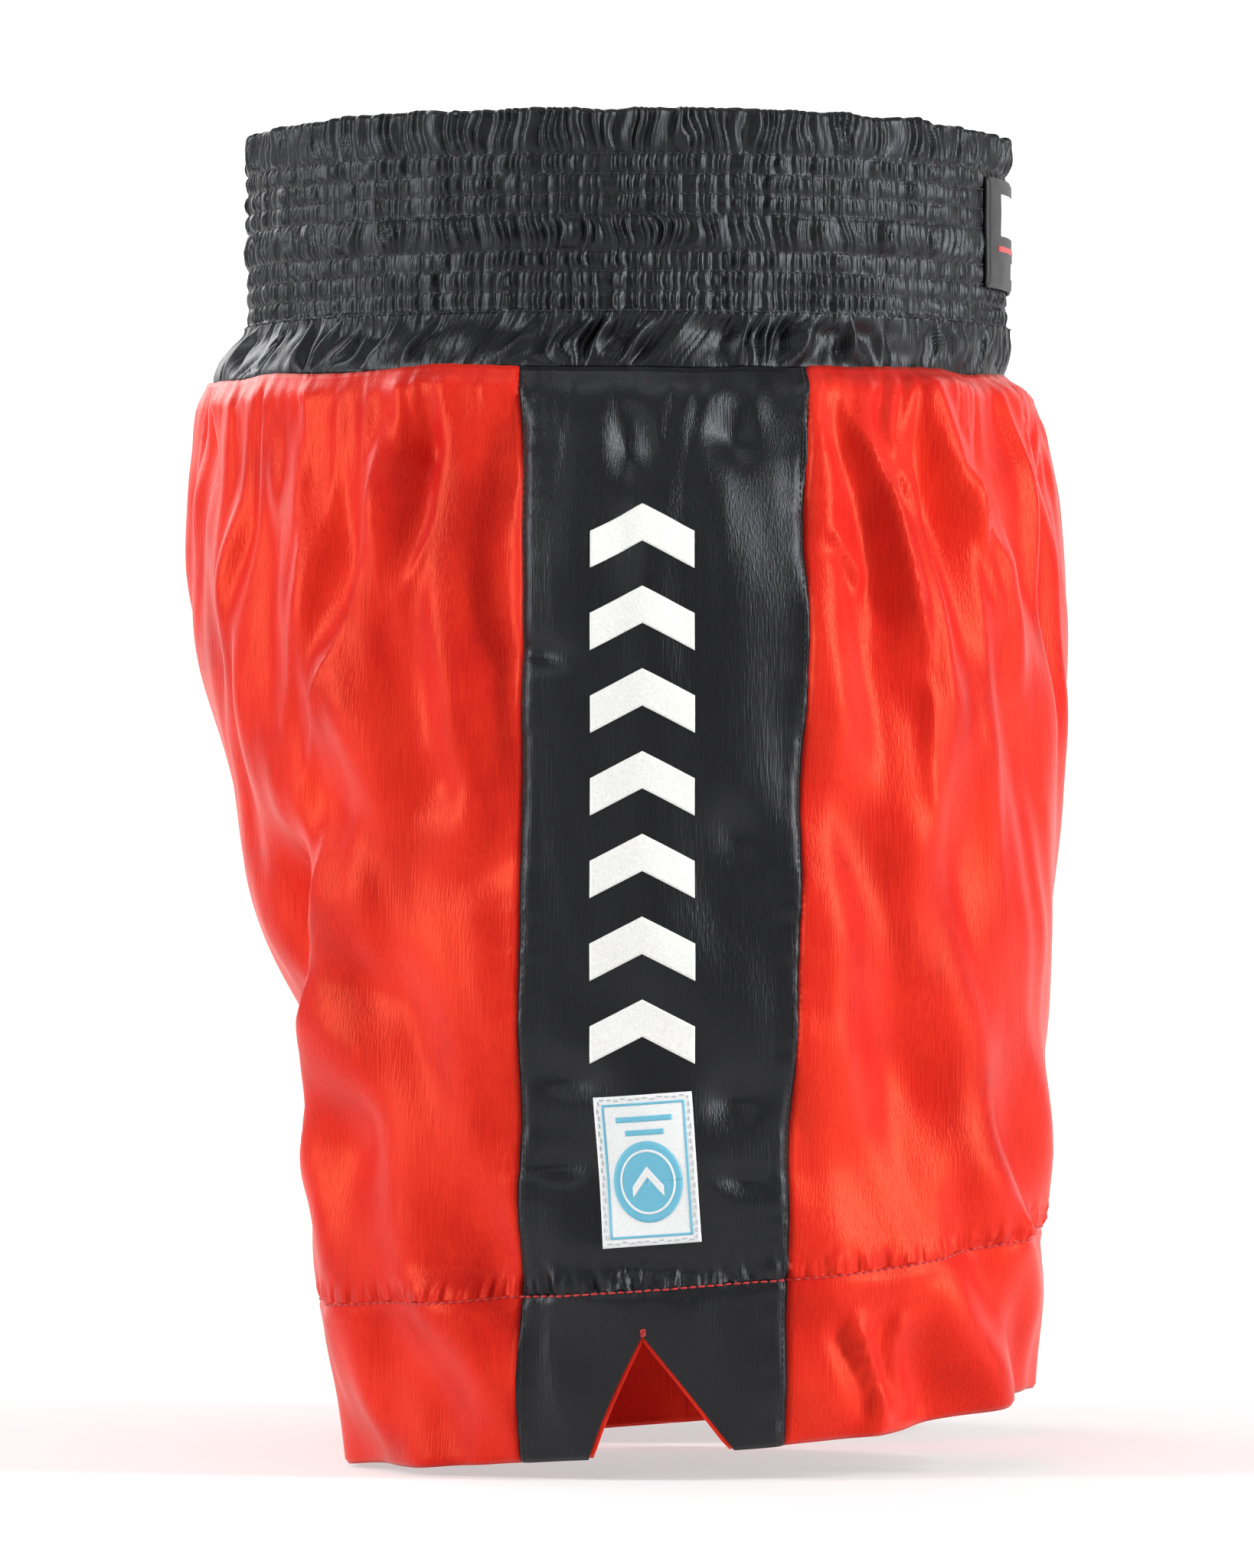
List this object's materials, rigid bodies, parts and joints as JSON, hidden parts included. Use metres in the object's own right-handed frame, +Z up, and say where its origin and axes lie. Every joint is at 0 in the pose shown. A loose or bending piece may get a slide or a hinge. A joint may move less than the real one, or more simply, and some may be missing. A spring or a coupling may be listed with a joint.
{
  "type": "boxing shorts",
  "caption": "Satin kickboxing shorts with a wide shirred elastic waistband, contrast side stripes with slit hems, printed chevrons and a woven label.",
  "frame": {"origin": "under the middle of the overall box, on the surface that the hems stand on", "axes": "+Z up to the waistband, -Y to the front of the shorts, -X to the wearer's right"},
  "size_m": [0.368, 0.2684, 0.405],
  "materials": {
    "red_satin": "satin",
    "black_satin": "satin",
    "knit_elastic": "matte",
    "black_thread": "satin",
    "red_thread": "satin",
    "white_print": "satin",
    "woven_label": "satin",
    "patch_base": "satin",
    "patch_red": "satin"
  },
  "bodies": {
    "root": {"left_back_panel": "red_satin", "left_front_panel": "red_satin", "left_hem_facing": "red_satin", "left_hem_stitch": "red_thread", "left_print_chevron_1": "white_print", "left_print_chevron_2": "white_print", "left_print_chevron_3": "white_print", "left_print_chevron_4": "white_print", "left_print_chevron_5": "white_print", "left_print_chevron_6": "white_print", "left_print_chevron_7": "white_print", "left_side_stripe": "black_satin", "left_slit_bartack": "red_thread", "left_stripe_stitch_back": "black_thread", "left_stripe_stitch_front": "black_thread", "patch_bar": "white_print", "patch_line": "patch_red", "patch_short_bar": "white_print", "right_back_panel": "red_satin", "right_front_panel": "red_satin", "right_hem_facing": "red_satin", "right_hem_stitch": "red_thread", "right_print_chevron_1": "white_print", "right_print_chevron_2": "white_print", "right_print_chevron_3": "white_print", "right_print_chevron_4": "white_print", "right_print_chevron_5": "white_print", "right_print_chevron_6": "white_print", "right_print_chevron_7": "white_print", "right_side_stripe": "black_satin", "right_slit_bartack": "red_thread", "right_stripe_stitch_back": "black_thread", "right_stripe_stitch_front": "black_thread", "right_woven_label": "woven_label", "shirr_stitch_1": "black_thread", "shirr_stitch_2": "black_thread", "shirr_stitch_3": "black_thread", "shirr_stitch_4": "black_thread", "shirr_stitch_5": "black_thread", "shirr_stitch_6": "black_thread", "shirr_stitch_7": "black_thread", "shirr_stitch_8": "black_thread", "waist_elastic_lower": "knit_elastic", "waist_elastic_upper": "knit_elastic", "waist_patch": "patch_base", "waistband_cover": "black_satin"}
  },
  "joints": []
}
